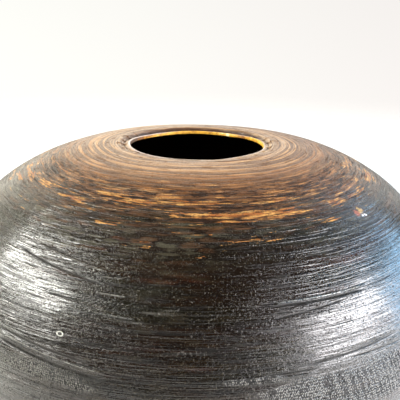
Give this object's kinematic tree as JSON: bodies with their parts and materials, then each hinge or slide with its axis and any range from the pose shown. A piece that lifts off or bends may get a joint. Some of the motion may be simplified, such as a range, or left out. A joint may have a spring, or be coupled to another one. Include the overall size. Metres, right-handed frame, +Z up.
{
  "type": "clay pot",
  "caption": "Wide, low coil-built pot of burnished black clay, closed to a small round mouth with a hand-pinched lip, standing on a flat foot.",
  "frame": {"origin": "centre of the flat foot, on the surface that the pot stands on", "axes": "+Z up along the pot's axis and out of the mouth; the wall is round, so X and Y only fix the surface's turn: the worn, streaked side of the crown faces -Y"},
  "size_m": [0.3942, 0.394, 0.2702],
  "materials": {
    "black_slip": "burnished, satin to glossy, worn through to ochre round the mouth",
    "lip_clay": "bare clay smoothed with a wet finger, matt",
    "clay_body": "rough fired clay, darkened by smoke, matt"
  },
  "bodies": {
    "root": {"base_disc": "clay_body", "foot_coil": "clay_body", "lower_coil_1": "clay_body", "lower_coil_2": "clay_body", "lower_coil_3": "clay_body", "belly_coil_1": "clay_body", "belly_coil_2": "clay_body", "belly_coil_3": "clay_body", "shoulder_coil_1": "clay_body", "shoulder_coil_2": "clay_body", "shoulder_coil_3": "clay_body", "crown_coil_1": "clay_body", "crown_coil_2": "clay_body", "lip_coil": "lip_clay", "slip_coat": "black_slip"}
  },
  "joints": []
}
